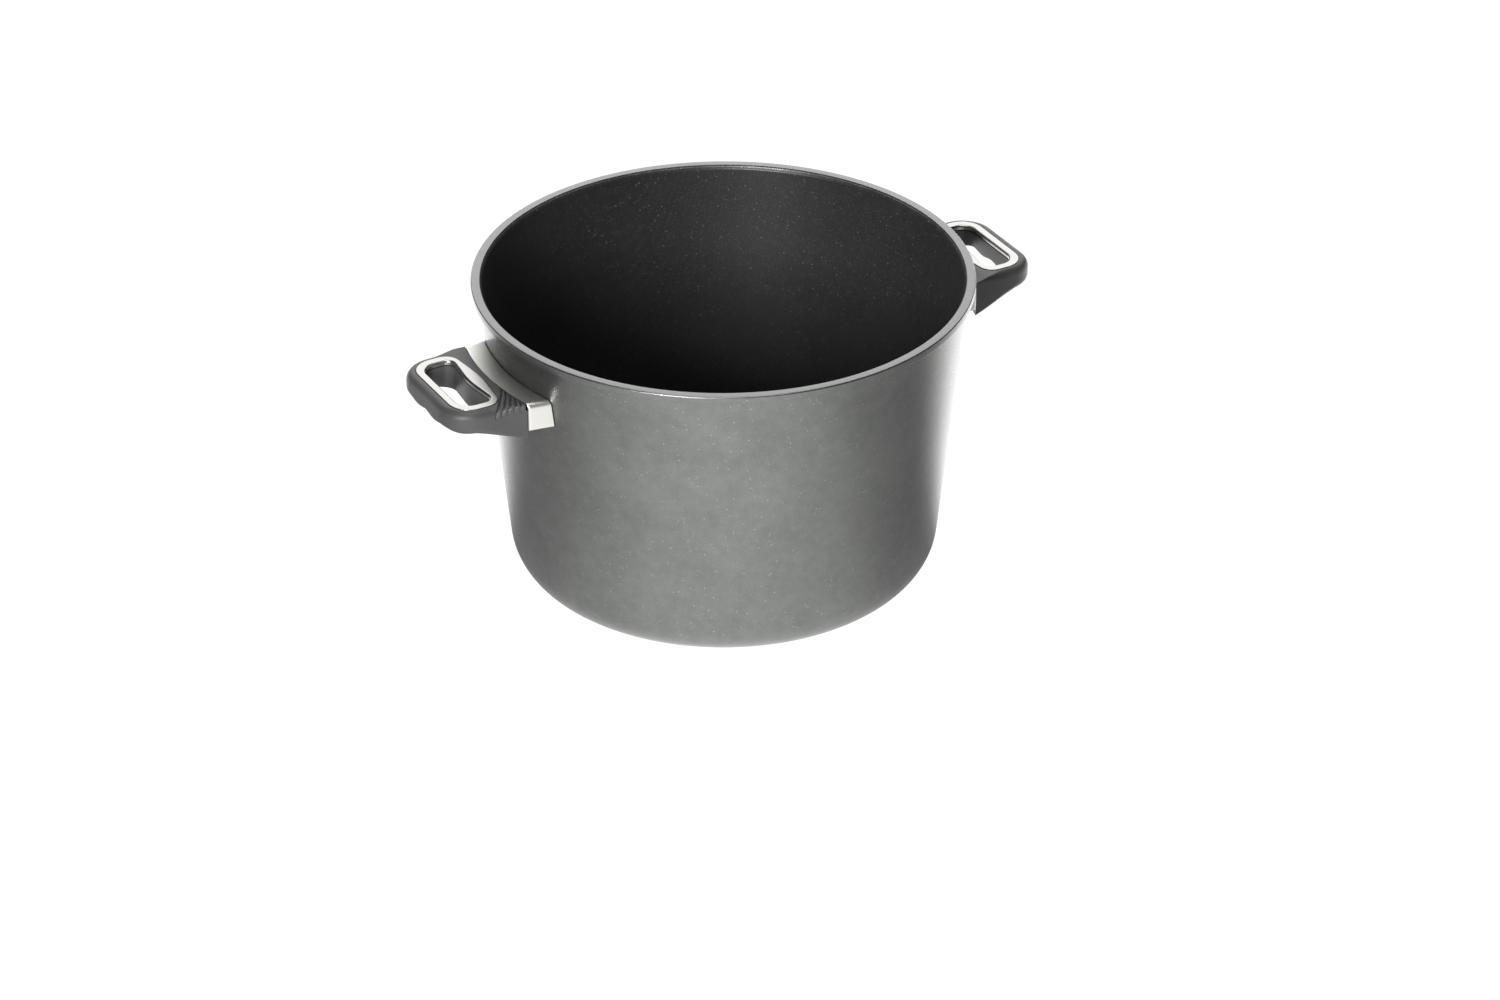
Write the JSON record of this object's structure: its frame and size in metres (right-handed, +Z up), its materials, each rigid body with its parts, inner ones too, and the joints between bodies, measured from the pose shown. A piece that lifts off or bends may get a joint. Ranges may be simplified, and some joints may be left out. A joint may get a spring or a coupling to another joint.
{
  "type": "stock pot",
  "caption": "Deep cast stock pot with a thick rim and two bolted side handles, each with a steel flame guard and a steel-trimmed finger opening.",
  "frame": {"origin": "centre of the underside of the pot's base, on the surface that it stands on", "axes": "+Z up the pot's axis, +X through the two handles, towards the right one"},
  "size_m": [0.387, 0.292, 0.1875],
  "materials": {
    "coated_casting": "cast aluminium with a dark grey speckled non-stick coating, near black inside",
    "stainless": "satin pressed stainless steel",
    "phenolic": "black satin heat-resistant phenolic moulding",
    "plated_steel": "zinc plated steel",
    "insert_brass": "plain turned brass"
  },
  "bodies": {
    "root": {"pot_body": "coated_casting", "flame_guard_left": "stainless", "flame_guard_right": "stainless", "grip_left": "phenolic", "grip_right": "phenolic", "trim_ring_left": "stainless", "trim_ring_right": "stainless", "screw_left_a": "plated_steel", "screw_left_b": "plated_steel", "screw_right_a": "plated_steel", "screw_right_b": "plated_steel", "washer_left_a": "plated_steel", "washer_left_b": "plated_steel", "washer_right_a": "plated_steel", "washer_right_b": "plated_steel", "thread_insert_left_a": "insert_brass", "thread_insert_left_b": "insert_brass", "thread_insert_right_a": "insert_brass", "thread_insert_right_b": "insert_brass"}
  },
  "joints": []
}
